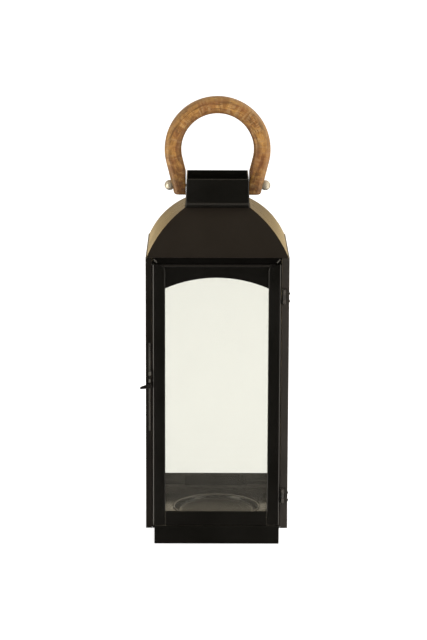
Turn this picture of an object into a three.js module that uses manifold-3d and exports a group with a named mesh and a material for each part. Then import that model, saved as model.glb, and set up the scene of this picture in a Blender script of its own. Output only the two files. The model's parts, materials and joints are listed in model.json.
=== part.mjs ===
// A tall square candle lantern: a sheet-metal body with glass on four sides, a hip roof of curved
// panels, an open square neck, a hinged front door with a turn latch, and a bent wooden handle.
// Millimetres, +Z up. The door faces -Y, and the origin is the centre of the base.

import * as THREE from 'three';
import { mergeVertices } from 'three/addons/utils/BufferGeometryUtils.js';
import Module from 'manifold-3d';

const wasm = await Module();
wasm.setup();

// Sheet, glass and clearances
const SHEET = 1.0;
const THIN = 0.6;
const GLASS = 2.2;
const GAP = 0.3;

// Body: a square box on a smaller square plinth
const HALF = 82.5;
const PLINTH_HALF = 73;
const PLINTH_TOP = 21.7;
const BODY_BOTTOM = PLINTH_TOP + GAP;
const BODY_TOP = 342.4;
const FLANGE = 12;
const HEAD_FLANGE = 8;
const POST_LEG = 15;
const JAMB_DEPTH = 6;
const WALL_HALF = HALF - POST_LEG - GAP;
const WALL_INSIDE = -HALF + SHEET + GAP;

// Windows with shallow arched heads
const WINDOW_BOTTOM = 43.4;
const ARCH_SPRING = 307.1;
const ARCH_CROWN = 319.6;
const PANE_HALF = 73.5;
const PANE_BOTTOM = 34.4;
const PANE_TOP = 327;
const CLIP_BOTTOM_HALF = 38;
const CLIP_TOP_HALF = 20;
const CLIP_LAP = 7.4;
const CLIP_FOOT = 6;

// Floor and its pressed candle well, whose rim stands a little above the floor
const FLOOR_TOP = 24.7;
const WELL_RADIUS = 50;
const WELL_DEPTH = 4.2;
const WELL_RIM_TOP = FLOOR_TOP + 1.2;

// Door, hung a little nearer to its latch than to its hinges
const DOOR_SHIFT = -0.7;
const DOOR_HALF = 74;
const DOOR_BOTTOM = 26;
const DOOR_TOP = 334.8;
const DOOR_FRONT = -HALF - 1.2;
const DOOR_DEPTH = 8;
const DOOR_BACK = DOOR_FRONT + DOOR_DEPTH;
const STILE_WIDTH = 14.8;
const FOLD = 2.2;
const DOOR_RAIL_TOP = 42.7;
const DOOR_PANE_HALF = 71.5;
const OPENING_HALF = DOOR_HALF - STILE_WIDTH;
const DOORWAY_HALF = DOOR_HALF + 0.6;
const HEADER_FACE = -HALF + 1.5;

// Hinges on the right, in front of the post, and latch on the left
const HINGE_X = 77;
const HINGE_Y = -84.3;
const HINGE_LENGTH = 16;
const HINGE_HEIGHTS = { lower: 61.6, upper: 297.9 };
const KNUCKLE_RADIUS = 1.5;
const PIN_HOLE_RADIUS = 0.9;
const LATCH_X = -78;
const LATCH_Z = 192.3;
const RIVET_HOLE_RADIUS = 1.1;
const STRAP_FRONT = -HALF - GAP - THIN;
const LEVER_BACK = DOOR_FRONT - GAP;
const LEVER_FRONT = LEVER_BACK - 1.6;

// Roof and neck
const EAVE_HALF = 81.3;
const EAVE_Z = BODY_TOP + GAP;
const ROOF_RADIUS = 110;
const NECK_HALF = 36.9;
const NECK_TOP_HALF = 36.1;
const NECK_BOTTOM = 385;
const NECK_BEND = 399.2;
const NECK_TOP = 426.7;
const RIDGE_HALF = NECK_HALF + 1;
const RIDGE_Z = 393.5;

// Handle: a wooden ring on two bolts
const PIVOT_Z = 414.2;
const RING_Z = 456.6;
const RING_RADIUS = 52;
const STOCK = 19.6;
const STOCK_CORNER = 6.5;
const LEG_SLOPE = THREE.MathUtils.degToRad(14.2);
const LEG_END_Z = 403.8;
const LEG_INNER_X = 37;
const LEG_SEAT_X = 50.2;
const SEAT_RADIUS = 6.3;
const BOLT_RADIUS = 2;
const BALL_RADIUS = 6;
const WASHER_RADIUS = 4.2;
const WASHER = 0.8;

const black = { color: 0x1b1a17, roughness: 0.45, metalness: 0.3 };
const clearGlass = { color: 0xe6eadd, roughness: 0.05, metalness: 0 };
const wood = { color: 0xa87446, roughness: 0.6, metalness: 0 };
const nickel = { color: 0xb9b198, roughness: 0.3, metalness: 0.9 };

// ---------- shape helpers ----------

function solidOf(geometry) {
  const bare = new THREE.BufferGeometry();
  bare.setAttribute('position', geometry.getAttribute('position').clone());
  if (geometry.getIndex()) bare.setIndex(geometry.getIndex().clone());
  const merged = mergeVertices(bare, 1e-4);
  const vertProperties = merged.getAttribute('position').array;
  const triVerts = new Uint32Array(merged.getIndex().array);
  return new wasm.Manifold(new wasm.Mesh({ numProp: 3, vertProperties, triVerts }));
}

function geometryOf(solid) {
  const mesh = solid.getMesh();
  const geometry = new THREE.BufferGeometry();
  geometry.setAttribute('position', new THREE.BufferAttribute(mesh.vertProperties, 3));
  geometry.setIndex(new THREE.BufferAttribute(mesh.triVerts, 1));
  geometry.computeVertexNormals();
  return geometry;
}

function join(...geometries) {
  return geometryOf(geometries.map(solidOf).reduce((whole, next) => whole.add(next)));
}

function cut(geometry, ...tools) {
  const whole = solidOf(geometry);
  return geometryOf(tools.map(solidOf).reduce((rest, tool) => rest.subtract(tool), whole));
}

function slab(x0, x1, y0, y1, z0, z1) {
  const geometry = new THREE.BoxGeometry(x1 - x0, y1 - y0, z1 - z0);
  return geometry.translate((x0 + x1) / 2, (y0 + y1) / 2, (z0 + z1) / 2);
}

function outline(points) {
  return new THREE.Shape(points.map(([x, y]) => new THREE.Vector2(x, y)));
}

function square(half) {
  return outline([[-half, -half], [half, -half], [half, half], [-half, half]]);
}

function extrude(shape, depth, segments = 12) {
  return new THREE.ExtrudeGeometry(shape, { depth, bevelEnabled: false, curveSegments: segments });
}

// A shape drawn in X and Y, raised from z0 to z1
function upright(shape, z0, z1) {
  return extrude(shape, z1 - z0).translate(0, 0, z0);
}

// A shape drawn in X and Z, as a plate from y0 back to y1
function plate(shape, y0, y1) {
  return extrude(shape, y1 - y0).rotateX(Math.PI / 2).translate(0, y1, 0);
}

// A shape drawn in Y and Z, swept along X from x0 to x1
function strip(shape, x0, x1) {
  const geometry = extrude(shape, x1 - x0);
  const turn = new THREE.Matrix4().set(0, 0, 1, 0, 1, 0, 0, 0, 0, 1, 0, 0, 0, 0, 0, 1);
  return geometry.applyMatrix4(turn).translate(x0, 0, 0);
}

function squareRing(outerHalf, innerHalf, z0, z1) {
  const shape = square(outerHalf);
  shape.holes.push(square(innerHalf));
  return upright(shape, z0, z1);
}

// A square frustum, solid, with flat sides facing X and Y
function squareFrustum(bottomHalf, topHalf, z0, z1) {
  const diagonal = Math.SQRT2;
  const geometry = new THREE.CylinderGeometry(topHalf * diagonal, bottomHalf * diagonal, z1 - z0, 4);
  return geometry.rotateY(Math.PI / 4).rotateX(Math.PI / 2).translate(0, 0, (z0 + z1) / 2);
}

function rodX(radius, x0, x1, z, sides = 20) {
  const geometry = new THREE.CylinderGeometry(radius, radius, x1 - x0, sides);
  return geometry.rotateZ(Math.PI / 2).translate((x0 + x1) / 2, 0, z);
}

function rodY(radius, x, y0, y1, z, sides = 16) {
  return new THREE.CylinderGeometry(radius, radius, y1 - y0, sides).translate(x, (y0 + y1) / 2, z);
}

function rodZ(radius, x, y, z0, z1, sides = 16) {
  const geometry = new THREE.CylinderGeometry(radius, radius, z1 - z0, sides);
  return geometry.rotateX(Math.PI / 2).translate(x, y, (z0 + z1) / 2);
}

// ---------- scene helpers ----------

const lantern = new THREE.Group();

function add(parent, name, geometry, look) {
  const mesh = new THREE.Mesh(geometry, new THREE.MeshStandardMaterial(look));
  mesh.name = name;
  parent.add(mesh);
}

// A group in which the wall is drawn as the front wall and then turned to its own side
function wallGroup(turnDegrees) {
  const group = new THREE.Group();
  group.rotation.z = THREE.MathUtils.degToRad(turnDegrees);
  lantern.add(group);
  return group;
}

// ---------- base ----------

function plinthSkirt() {
  const inner = PLINTH_HALF - SHEET;
  return join(
    squareRing(PLINTH_HALF, inner, 0, PLINTH_TOP),
    squareRing(PLINTH_HALF, PLINTH_HALF - FLANGE, 0, SHEET),
    squareRing(PLINTH_HALF, PLINTH_HALF - FLANGE, PLINTH_TOP - SHEET, PLINTH_TOP),
  );
}

// A shallow dish with a rolled rim, and a flat edge that laps the floor
function wellDish() {
  const floor = FLOOR_TOP - WELL_DEPTH;
  const rim = WELL_RADIUS + 0.8;
  const edge = WELL_RADIUS + 3;
  const top = new THREE.Path();
  top.moveTo(0, floor);
  top.lineTo(WELL_RADIUS - 6, floor);
  top.bezierCurveTo(WELL_RADIUS - 2.5, floor, WELL_RADIUS - 2, WELL_RIM_TOP, rim, WELL_RIM_TOP);
  top.bezierCurveTo(rim + 1.2, WELL_RIM_TOP, edge - 1.2, FLOOR_TOP, edge, FLOOR_TOP);
  top.lineTo(edge + 2, FLOOR_TOP);
  const upper = top.getPoints(5);
  const under = upper.map((point) => new THREE.Vector2(point.x, point.y - SHEET));
  return new THREE.LatheGeometry([...under, ...upper.reverse()], 48).rotateX(Math.PI / 2);
}

function floorPlate() {
  const half = -WALL_INSIDE;
  const sheet = square(half);
  sheet.holes.push(new THREE.Path().absarc(0, 0, WELL_RADIUS + 4, 0, Math.PI * 2, true));
  return join(
    upright(sheet, FLOOR_TOP - SHEET, FLOOR_TOP),
    squareRing(half, half - SHEET, BODY_BOTTOM + SHEET + GAP, FLOOR_TOP),
    wellDish(),
  );
}

// ---------- body frame ----------

// An angle of sheet standing at the corner (-HALF, -HALF), with legs along X and Y
function cornerAngle(legX, legY) {
  const bend = 1.2;
  const shape = new THREE.Shape();
  shape.moveTo(-HALF + legX, -HALF);
  shape.lineTo(-HALF + legX, -HALF + SHEET);
  shape.lineTo(-HALF + SHEET, -HALF + SHEET);
  shape.lineTo(-HALF + SHEET, -HALF + legY);
  shape.lineTo(-HALF, -HALF + legY);
  shape.lineTo(-HALF, -HALF + bend);
  shape.absarc(-HALF + bend, -HALF + bend, bend, Math.PI, Math.PI * 1.5, false);
  return upright(shape, BODY_BOTTOM, BODY_TOP);
}

// A front post's face is as wide as leg, and folds back beside the door
function frontPost(leg) {
  const jambX = -HALF + leg;
  const jambFoot = FLOOR_TOP + 2;
  const jamb = slab(jambX - SHEET, jambX, -HALF, -HALF + JAMB_DEPTH, jambFoot, BODY_TOP);
  return join(cornerAngle(leg, POST_LEG), jamb);
}

function mirrorX(geometry) {
  const mirrored = geometry.clone().applyMatrix4(new THREE.Matrix4().makeScale(-1, 1, 1));
  const index = mirrored.getIndex().array;
  for (let i = 0; i < index.length; i += 3) [index[i], index[i + 1]] = [index[i + 1], index[i]];
  return mirrored;
}

// Slotted beside each hinge, for the leaf on the door's edge
function frontPostRight() {
  const edge = DOORWAY_HALF + DOOR_SHIFT;
  const reach = HINGE_LENGTH / 2 + 1.6;
  const slot = (z) => slab(edge - 1, edge + 2.1, HINGE_Y, -HALF + JAMB_DEPTH + 1, z - reach, z + reach);
  return cut(mirrorX(frontPost(HALF - edge)), ...Object.values(HINGE_HEIGHTS).map(slot));
}

// Drilled for the latch's rivet, with room beside the jamb for the rivet's tail
function frontPostLeft() {
  const back = -HALF + SHEET;
  return cut(
    frontPost(HALF - DOORWAY_HALF + DOOR_SHIFT),
    rodY(RIVET_HOLE_RADIUS, LATCH_X, -HALF - 1, back + 1, LATCH_Z),
    rodY(1.9, LATCH_X, back, back + 1.4, LATCH_Z),
  );
}

function bottomRail() {
  return join(
    slab(-WALL_HALF, WALL_HALF, -HALF, -HALF + SHEET, BODY_BOTTOM, WINDOW_BOTTOM),
    slab(-WALL_HALF, WALL_HALF, -HALF, -HALF + FLANGE, BODY_BOTTOM, BODY_BOTTOM + SHEET),
  );
}

// A plate across the top of a window whose lower edge is a shallow arch
function archedPlate(half, archHalf, top) {
  const rise = ARCH_CROWN - ARCH_SPRING;
  const radius = (archHalf ** 2 + rise ** 2) / (2 * rise);
  const sweep = Math.asin(archHalf / radius);
  const shape = new THREE.Shape();
  shape.moveTo(-half, ARCH_SPRING);
  shape.lineTo(-archHalf, ARCH_SPRING);
  shape.absarc(0, ARCH_CROWN - radius, radius, Math.PI / 2 + sweep, Math.PI / 2 - sweep, true);
  shape.lineTo(half, ARCH_SPRING);
  shape.lineTo(half, top);
  shape.lineTo(-half, top);
  return shape;
}

function archedHead() {
  return join(
    plate(archedPlate(WALL_HALF, WALL_HALF - 1, BODY_TOP), -HALF, -HALF + SHEET),
    slab(-WALL_HALF, WALL_HALF, -HALF, -HALF + HEAD_FLANGE, BODY_TOP - SHEET, BODY_TOP),
  );
}

function pane(half) {
  return slab(-half, half, WALL_INSIDE, WALL_INSIDE + GLASS, PANE_BOTTOM, PANE_TOP);
}

// A strip of sheet bent in a Z: one leg lies on the wall at wallY, the other laps the glass.
// It stands at the pane's edge at height edgeZ, and reaches up (side 1) or down (side -1) over it.
function paneClip(half, wallY, glassBack, edgeZ, side) {
  const base = edgeZ - side * GAP;
  const foot = base - side * CLIP_FOOT;
  const step = base - side * SHEET;
  const tip = base + side * CLIP_LAP;
  const lap = glassBack + GAP;
  const section = outline([
    [wallY, foot],
    [wallY + SHEET, foot],
    [wallY + SHEET, step],
    [lap + SHEET, step],
    [lap + SHEET, tip],
    [lap, tip],
    [lap, base],
    [wallY, base],
  ]);
  return strip(section, -half, half);
}

function addClips(group, side, lowerWall, upperWall, glassBack) {
  const lower = paneClip(CLIP_BOTTOM_HALF, lowerWall, glassBack, PANE_BOTTOM, 1);
  const upper = paneClip(CLIP_TOP_HALF, upperWall, glassBack, PANE_TOP, -1);
  add(group, `${side}_pane_lower_clip`, lower, black);
  add(group, `${side}_pane_upper_clip`, upper, black);
}

function addWall(side, turnDegrees) {
  const group = wallGroup(turnDegrees);
  add(group, `${side}_bottom_rail`, bottomRail(), black);
  add(group, `${side}_arched_head`, archedHead(), black);
  add(group, `${side}_pane`, pane(PANE_HALF), clearGlass);
  addClips(group, side, WALL_INSIDE, WALL_INSIDE, WALL_INSIDE + GLASS);
}

// The header is set back from the posts, with a rolled seam slanting across each end
function frontHeader() {
  const half = DOORWAY_HALF - GAP;
  const bottom = DOOR_TOP + GAP;
  const middle = (bottom + BODY_TOP) / 2;
  const slant = THREE.MathUtils.degToRad(38);
  const seam = (sign) => {
    const rod = rodZ(0.8, 0, 0, -3.1, 3.1, 12).rotateY(sign * slant);
    return rod.translate(sign * (half - 3.7), HEADER_FACE, middle);
  };
  return join(
    slab(-half, half, HEADER_FACE, HEADER_FACE + SHEET, bottom, BODY_TOP),
    slab(-half, half, HEADER_FACE, HEADER_FACE + HEAD_FLANGE, BODY_TOP - SHEET, BODY_TOP),
    seam(-1),
    seam(1),
  );
}

function frontSill() {
  const half = DOORWAY_HALF - GAP;
  return join(
    slab(-half, half, -HALF, -HALF + SHEET, BODY_BOTTOM, FLOOR_TOP),
    slab(-half, half, -HALF, -HALF + FLANGE, BODY_BOTTOM, BODY_BOTTOM + SHEET),
  );
}

// ---------- door ----------

// The left stile from above: rounded along the window, and folded back along the door's edge
function stileSection() {
  const round = 0.8;
  const shape = new THREE.Shape();
  shape.absarc(-OPENING_HALF - round, DOOR_FRONT + round, round, Math.PI * 1.5, Math.PI * 2, false);
  shape.lineTo(-OPENING_HALF, DOOR_FRONT + SHEET);
  shape.lineTo(-DOOR_HALF + FOLD, DOOR_FRONT + SHEET);
  shape.absarc(-DOOR_HALF + FOLD, DOOR_FRONT + FOLD, FOLD - SHEET, Math.PI * 1.5, Math.PI, true);
  shape.lineTo(-DOOR_HALF + SHEET, DOOR_BACK);
  shape.lineTo(-DOOR_HALF, DOOR_BACK);
  shape.absarc(-DOOR_HALF + FOLD, DOOR_FRONT + FOLD, FOLD, Math.PI, Math.PI * 1.5, false);
  return shape;
}

// The upper inner corner of each stile sweeps away over the arched panel
function doorStile() {
  const width = 6;
  const height = 8;
  const sweep = new THREE.Shape();
  sweep.moveTo(-OPENING_HALF + 1, DOOR_TOP - height);
  sweep.lineTo(-OPENING_HALF, DOOR_TOP - height);
  sweep.bezierCurveTo(
    -OPENING_HALF, DOOR_TOP - height / 2,
    -OPENING_HALF - width / 3, DOOR_TOP - height / 4,
    -OPENING_HALF - width, DOOR_TOP,
  );
  sweep.lineTo(-OPENING_HALF - width, DOOR_TOP + 1);
  sweep.lineTo(-OPENING_HALF + 1, DOOR_TOP + 1);
  const stile = upright(stileSection(), DOOR_BOTTOM, DOOR_TOP);
  return cut(stile, plate(sweep, DOOR_FRONT - 1, DOOR_FRONT + SHEET + 0.5));
}

// Lies behind the stiles, and folds back at the top in a round lip as far forward as they are
function doorArchedPanel() {
  const half = DOOR_HALF - FOLD;
  const face = DOOR_FRONT + SHEET + GAP;
  const lipHalf = OPENING_HALF + 2;
  const lip = new THREE.Shape();
  lip.absarc(DOOR_FRONT + FOLD, DOOR_TOP - FOLD, FOLD, Math.PI / 2, Math.PI, false);
  lip.lineTo(DOOR_FRONT, DOOR_TOP - 2.6);
  lip.lineTo(DOOR_FRONT + FOLD, DOOR_TOP - 2.6);
  return join(
    plate(archedPlate(half, OPENING_HALF, DOOR_TOP), face, face + SHEET),
    slab(-half, half, face, DOOR_BACK, DOOR_TOP - SHEET, DOOR_TOP),
    strip(lip, -lipHalf, lipHalf),
  );
}

function doorBottomRail() {
  const half = OPENING_HALF - GAP;
  return join(
    slab(-half, half, DOOR_FRONT, DOOR_FRONT + SHEET, DOOR_BOTTOM, DOOR_RAIL_TOP),
    slab(-half, half, DOOR_FRONT, DOOR_BACK, DOOR_BOTTOM, DOOR_BOTTOM + SHEET),
  );
}

function addDoor(group) {
  const railBack = DOOR_FRONT + SHEET + GAP;
  const panelBack = railBack + SHEET + GAP;
  const glassBack = panelBack + GLASS;
  const glass = slab(-DOOR_PANE_HALF, DOOR_PANE_HALF, panelBack, glassBack, PANE_BOTTOM, PANE_TOP);
  add(group, 'door_left_stile', doorStile(), black);
  add(group, 'door_right_stile', mirrorX(doorStile()), black);
  add(group, 'door_arched_panel', doorArchedPanel(), black);
  add(group, 'door_bottom_rail', doorBottomRail(), black);
  add(group, 'door_pane', glass, clearGlass);
  addClips(group, 'door', railBack, panelBack, glassBack);
}

// ---------- hinges ----------

function pinHole(centre) {
  return rodZ(PIN_HOLE_RADIUS, HINGE_X, HINGE_Y, centre - HINGE_LENGTH, centre + HINGE_LENGTH);
}

function knuckle(z0, z1) {
  return rodZ(KNUCKLE_RADIUS, HINGE_X, HINGE_Y, z0, z1);
}

// Two end knuckles and a leaf that lies on the post's front, held by two rivets that overlap its corner
function postLeaf(centre) {
  const low = centre - HINGE_LENGTH / 2;
  const high = centre + HINGE_LENGTH / 2;
  const third = HINGE_LENGTH / 3;
  const faceY = -HALF - GAP;
  const rivet = (z) => rodY(1.5, HALF - 0.6, faceY - THIN - 0.4, faceY, z, 12);
  const leaf = join(
    knuckle(low, high),
    slab(HINGE_X + 0.3, HALF - 0.1, faceY - THIN, faceY, low, high),
    rivet(centre - 5.1),
    rivet(centre + 3.8),
  );
  const reach = KNUCKLE_RADIUS + 0.6;
  const between = [low + third - GAP, high - third + GAP];
  const notch = slab(HINGE_X - reach, HINGE_X + reach, HINGE_Y - reach, HINGE_Y + reach, ...between);
  return cut(leaf, pinHole(centre), notch);
}

// Lies on the door's edge, with a tab that reaches out to the middle knuckle
function doorLeaf(centre) {
  const half = HINGE_LENGTH / 2;
  const tabHalf = HINGE_LENGTH / 6;
  const x = DOOR_HALF + DOOR_SHIFT + 0.25;
  const leafThickness = 0.5;
  const leaf = join(
    knuckle(centre - tabHalf, centre + tabHalf),
    slab(x, HINGE_X, DOOR_FRONT, DOOR_FRONT + leafThickness, centre - tabHalf, centre + tabHalf),
    slab(x, x + leafThickness, DOOR_FRONT, DOOR_BACK - 1, centre - half, centre + half),
  );
  return cut(leaf, pinHole(centre));
}

function hingePin(centre) {
  const reach = HINGE_LENGTH / 2;
  const headFoot = centre + reach + GAP;
  const shaft = rodZ(0.6, HINGE_X, HINGE_Y, centre - reach - 0.8, headFoot + 0.2, 10);
  return join(shaft, rodZ(1.3, HINGE_X, HINGE_Y, headFoot, headFoot + 0.9, 12));
}

function addHinge(level, centre) {
  add(lantern, `${level}_hinge_post_leaf`, postLeaf(centre), black);
  add(lantern, `${level}_hinge_door_leaf`, doorLeaf(centre), black);
  add(lantern, `${level}_hinge_pin`, hingePin(centre), black);
}

// ---------- latch ----------

// A long narrow strap on the left front post, with a round seat for the lever and three pressed pips
function latchStrap() {
  const back = -HALF - GAP;
  const pip = (dz) => rodY(0.8, LATCH_X, STRAP_FRONT - 0.5, back - 0.1, LATCH_Z + dz, 10);
  const strap = join(
    slab(LATCH_X - 1, LATCH_X + 1, STRAP_FRONT, back, LATCH_Z - 53, LATCH_Z + 51),
    rodY(2.3, LATCH_X, STRAP_FRONT, back, LATCH_Z),
    pip(-48.5),
    pip(-19.5),
    pip(46.5),
  );
  return cut(strap, rodY(RIVET_HOLE_RADIUS, LATCH_X, STRAP_FRONT - 1, back + 1, LATCH_Z));
}

// A finger tail that tapers to the left and droops to a blunt end
function latchTail() {
  const tail = new THREE.Shape();
  tail.moveTo(1, 2.3);
  tail.quadraticCurveTo(-5.5, 1.9, -10.4, -0.6);
  tail.quadraticCurveTo(-12.1, -2.6, -9.6, -3.3);
  tail.quadraticCurveTo(-5, -2.6, 1, -2.2);
  return tail;
}

// A bell crank: the finger tail, and a nose with a broad tip that stands up beside the door's edge
function latchLever() {
  const nose = outline([
    [-1, 0],
    [1.1, 0],
    [1.1, 12.5],
    [1.9, 13.5],
    [1.9, 18.3],
    [-1.1, 18.3],
    [-1.1, 13.5],
    [-1, 12.5],
  ]);
  const whole = join(
    rodY(2.4, 0, LEVER_FRONT, LEVER_BACK, 0),
    plate(latchTail(), LEVER_FRONT, LEVER_BACK),
    plate(nose, LEVER_FRONT, LEVER_BACK),
  );
  const hole = rodY(RIVET_HOLE_RADIUS, 0, LEVER_FRONT - 1, LEVER_BACK + 1, 0);
  return cut(whole, hole).translate(LATCH_X, 0, LATCH_Z);
}

function latchRivet() {
  const headBack = LEVER_FRONT - GAP;
  return join(
    rodY(0.8, LATCH_X, headBack - 0.6, WALL_INSIDE + 0.6, LATCH_Z),
    rodY(1.9, LATCH_X, headBack - 0.9, headBack, LATCH_Z),
    rodY(1.6, LATCH_X, WALL_INSIDE, WALL_INSIDE + 0.8, LATCH_Z),
  );
}

// ---------- roof and neck ----------

// One curved sheet between two hips. Its section is an arc band drawn as distance from the
// lantern's axis against height, and each end follows the 45 degree mitre of the hip.
function roofPanel() {
  const run = EAVE_HALF - RIDGE_HALF;
  const rise = RIDGE_Z - EAVE_Z;
  const chord = Math.hypot(run, rise);
  const toCentre = Math.sqrt(ROOF_RADIUS ** 2 - (chord / 2) ** 2);
  const centreR = (EAVE_HALF + RIDGE_HALF) / 2 - (rise / chord) * toCentre;
  const centreZ = (EAVE_Z + RIDGE_Z) / 2 - (run / chord) * toCentre;
  const eaveAngle = Math.atan2(EAVE_Z - centreZ, EAVE_HALF - centreR);
  const ridgeAngle = Math.atan2(RIDGE_Z - centreZ, RIDGE_HALF - centreR);
  const innerEaveAngle = Math.asin((EAVE_Z - centreZ) / (ROOF_RADIUS - SHEET));
  const band = new THREE.Shape();
  band.absarc(centreR, centreZ, ROOF_RADIUS, eaveAngle, ridgeAngle, false);
  band.absarc(centreR, centreZ, ROOF_RADIUS - SHEET, ridgeAngle, innerEaveAngle, true);
  const geometry = extrude(band, 2, 10);
  const position = geometry.getAttribute('position');
  for (let i = 0; i < position.count; i += 1) {
    const r = position.getX(i);
    const z = position.getY(i);
    const side = position.getZ(i) > 1 ? -1 : 1;
    position.setXYZ(i, side * (r - 0.2), -r, z);
  }
  return geometryOf(solidOf(geometry));
}

// The neck is straight through the roof, then tapers, and a bead covers the roof's upper edge
function neck() {
  const inner = NECK_HALF - SHEET;
  const flangeHalf = NECK_HALF + 5;
  const beadHalf = NECK_HALF + 0.4;
  const outside = join(
    squareFrustum(NECK_HALF, NECK_HALF, NECK_BOTTOM, NECK_BEND),
    squareFrustum(NECK_HALF, NECK_TOP_HALF, NECK_BEND, NECK_TOP),
    squareFrustum(flangeHalf, flangeHalf, NECK_BOTTOM, NECK_BOTTOM + SHEET),
    squareFrustum(beadHalf, beadHalf, NECK_BEND - 3, NECK_BEND),
  );
  const inside = join(
    squareFrustum(inner, inner, NECK_BOTTOM - 1, NECK_BEND),
    squareFrustum(inner, NECK_TOP_HALF - SHEET, NECK_BEND, NECK_TOP),
    squareFrustum(NECK_TOP_HALF - SHEET, NECK_TOP_HALF - SHEET, NECK_TOP, NECK_TOP + 1),
  );
  return cut(outside, inside, rodX(BOLT_RADIUS + 0.4, -HALF, HALF, PIVOT_Z));
}

// ---------- handle ----------

// The middle line of the wood: a leg, most of a circle, and the other leg, in the plane y = 0
class HandleLine extends THREE.Curve {
  constructor() {
    super();
    this.arcHalf = Math.PI / 2 + LEG_SLOPE;
    const legTopZ = RING_Z - RING_RADIUS * Math.sin(LEG_SLOPE);
    this.legLength = (legTopZ - LEG_END_Z + STOCK / 2) / Math.cos(LEG_SLOPE);
  }

  getPoint(t, target = new THREE.Vector3()) {
    const arcLength = RING_RADIUS * this.arcHalf;
    const s = (2 * t - 1) * (arcLength + this.legLength);
    const angle = THREE.MathUtils.clamp(s / RING_RADIUS, -this.arcHalf, this.arcHalf);
    const past = s - angle * RING_RADIUS;
    const x = RING_RADIUS * Math.sin(angle) + past * Math.cos(angle);
    const z = RING_Z + RING_RADIUS * Math.cos(angle) - past * Math.sin(angle);
    return target.set(x, 0, z);
  }
}

function stockSection() {
  const reach = STOCK / 2 - STOCK_CORNER;
  const section = new THREE.Shape();
  for (const [sx, sy, quarter] of [[1, 1, 0], [-1, 1, 1], [-1, -1, 2], [1, -1, 3]]) {
    const start = (quarter * Math.PI) / 2;
    section.absarc(sx * reach, sy * reach, STOCK_CORNER, start, start + Math.PI / 2, false);
  }
  return section;
}

// The legs end level, are flat on their inner sides up to where the ring's inside passes
// LEG_INNER_X, and have a round seat for each washer
function woodenHandle() {
  const extrudePath = new HandleLine();
  const options = { steps: 56, curveSegments: 3, bevelEnabled: false, extrudePath };
  const stock = new THREE.ExtrudeGeometry(stockSection(), options);
  const ringInside = RING_RADIUS - STOCK / 2;
  const flatTop = RING_Z - Math.sqrt(ringInside ** 2 - LEG_INNER_X ** 2);
  return cut(
    stock,
    slab(-HALF, HALF, -HALF, HALF, LEG_END_Z - 60, LEG_END_Z),
    slab(-LEG_INNER_X, LEG_INNER_X, -HALF, HALF, LEG_END_Z - 1, flatTop),
    rodX(BOLT_RADIUS + 0.5, -HALF, HALF, PIVOT_Z),
    rodX(SEAT_RADIUS, -HALF, -LEG_SEAT_X, PIVOT_Z),
    rodX(SEAT_RADIUS, LEG_SEAT_X, HALF, PIVOT_Z),
  );
}

function drilled(geometry, x0, x1) {
  return cut(geometry, rodX(BOLT_RADIUS + GAP, x0 - 1, x1 + 1, PIVOT_Z));
}

function washer(x) {
  return drilled(rodX(WASHER_RADIUS, x, x + WASHER, PIVOT_Z), x, x + WASHER);
}

// A ball with a flat foot and a blind bore, turned about X
function ballNut(footX, centreX) {
  const start = -Math.asin((centreX - footX) / BALL_RADIUS);
  const bore = BOLT_RADIUS + GAP;
  const boreEnd = centreX + 1;
  const profile = new THREE.Path();
  profile.moveTo(0, boreEnd);
  profile.lineTo(bore, boreEnd);
  profile.lineTo(bore, footX);
  profile.absarc(0, centreX, BALL_RADIUS, start, Math.PI / 2, false);
  const points = profile.getPoints(10);
  points[points.length - 1].x = 0;
  return new THREE.LatheGeometry(points, 24).rotateZ(-Math.PI / 2).translate(0, 0, PIVOT_Z);
}

function hexNut(x0, x1) {
  return drilled(rodX(3.9, x0, x1, PIVOT_Z, 6), x0, x1);
}

function addHandleFixing(side, turnDegrees) {
  const group = wallGroup(turnDegrees);
  const outerWasherX = LEG_SEAT_X + GAP;
  const footX = outerWasherX + WASHER + GAP;
  const ballX = footX + 4.3;
  const innerWasherX = 33.7;
  const nutX = innerWasherX - GAP;
  add(group, `${side}_bolt`, rodX(BOLT_RADIUS, nutX - 3.9, ballX + 0.6, PIVOT_Z), nickel);
  add(group, `${side}_outer_washer`, washer(outerWasherX), nickel);
  add(group, `${side}_ball_nut`, ballNut(footX, ballX), nickel);
  add(group, `${side}_inner_washer`, washer(innerWasherX), nickel);
  add(group, `${side}_hex_nut`, hexNut(nutX - 2.8, nutX), nickel);
}

// ---------- assembly ----------

add(lantern, 'plinth_skirt', plinthSkirt(), black);
add(lantern, 'floor_plate', floorPlate(), black);
add(lantern, 'front_left_post', frontPostLeft(), black);
add(lantern, 'front_right_post', frontPostRight(), black);
const backPosts = wallGroup(180);
add(backPosts, 'back_right_post', cornerAngle(POST_LEG, POST_LEG), black);
add(backPosts, 'back_left_post', mirrorX(geometryOf(solidOf(cornerAngle(POST_LEG, POST_LEG)))), black);
addWall('left', -90);
addWall('back', 180);
addWall('right', 90);
const doorway = new THREE.Group();
doorway.position.x = DOOR_SHIFT;
lantern.add(doorway);
add(doorway, 'front_header', frontHeader(), black);
add(doorway, 'front_sill', frontSill(), black);
addDoor(doorway);
for (const [level, centre] of Object.entries(HINGE_HEIGHTS)) addHinge(level, centre);
add(lantern, 'latch_strap', latchStrap(), black);
add(lantern, 'latch_lever', latchLever(), black);
add(lantern, 'latch_rivet', latchRivet(), black);
for (const [side, turn] of [['front', 0], ['right', 90], ['back', 180], ['left', -90]]) {
  add(wallGroup(turn), `${side}_roof_panel`, roofPanel(), black);
}
add(lantern, 'neck', neck(), black);
add(lantern, 'wooden_handle', woodenHandle(), wood);
addHandleFixing('right', 0);
addHandleFixing('left', 180);

export default lantern;
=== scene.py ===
"""Looks for a tall square candle lantern: black sheet metal, glass, a wooden ring handle."""

import json
import math

import bmesh
import bpy
from mathutils import Matrix, Vector

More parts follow.
